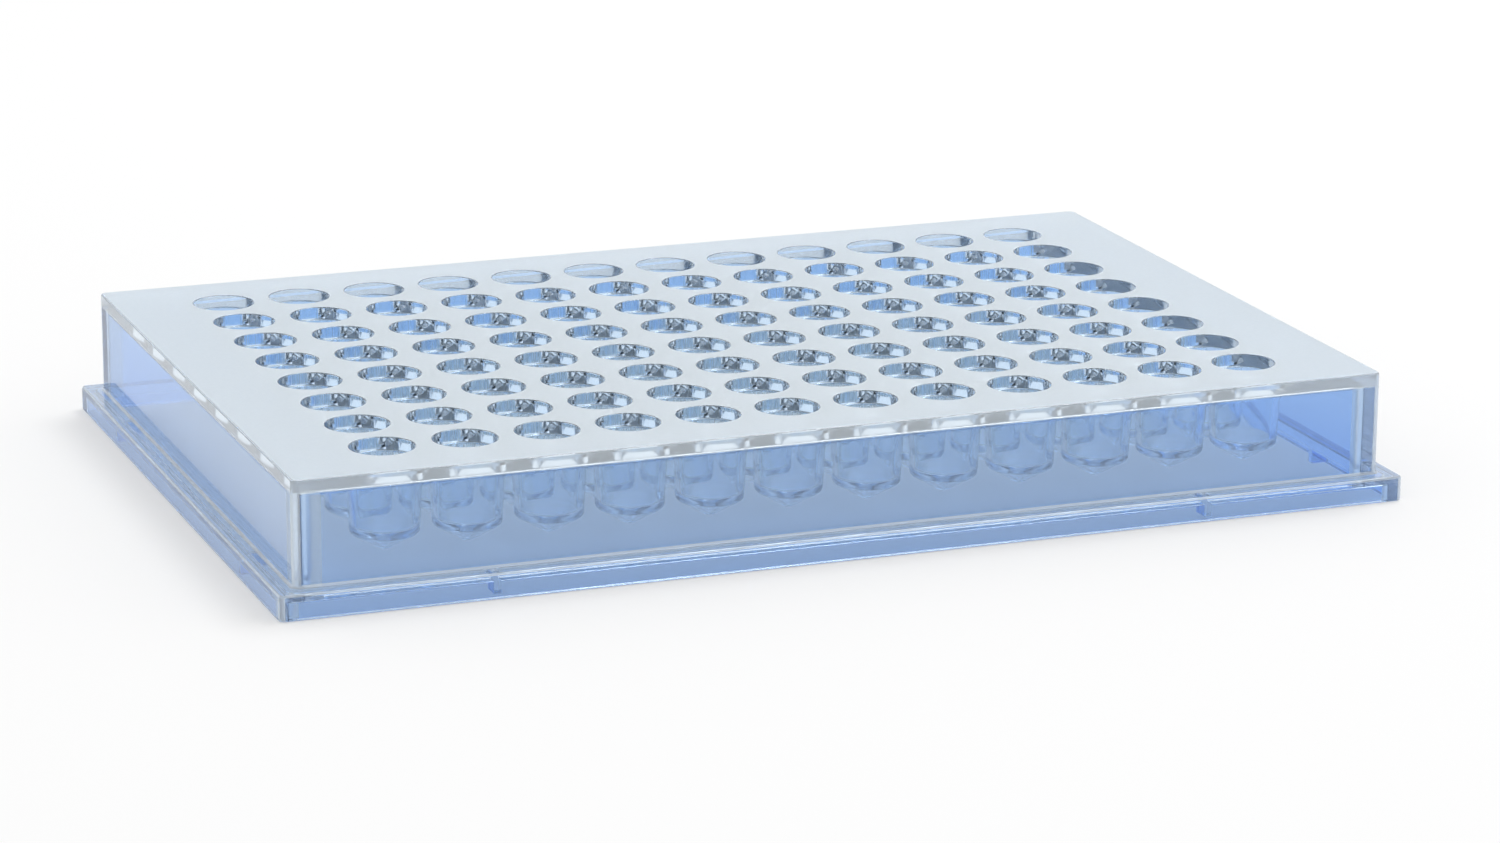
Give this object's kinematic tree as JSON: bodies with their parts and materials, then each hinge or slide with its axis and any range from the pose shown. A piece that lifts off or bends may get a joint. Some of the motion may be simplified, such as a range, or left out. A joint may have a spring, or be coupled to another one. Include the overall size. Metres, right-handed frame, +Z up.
{
  "type": "well plate",
  "caption": "Clear laboratory plate with a flat deck, a grid of conical-bottomed wells hanging from it, and a stepped skirt to stand on.",
  "frame": {"origin": "middle of the footprint, on the resting plane", "axes": "+X along the long side, +Y along the short side towards the back row of wells, +Z up out of the wells"},
  "size_m": [0.1278, 0.0854, 0.0142],
  "materials": {
    "clear_polystyrene": "clear and polished, with a faint blue cast"
  },
  "bodies": {
    "root": {"well_plate": "clear_polystyrene"}
  },
  "joints": []
}
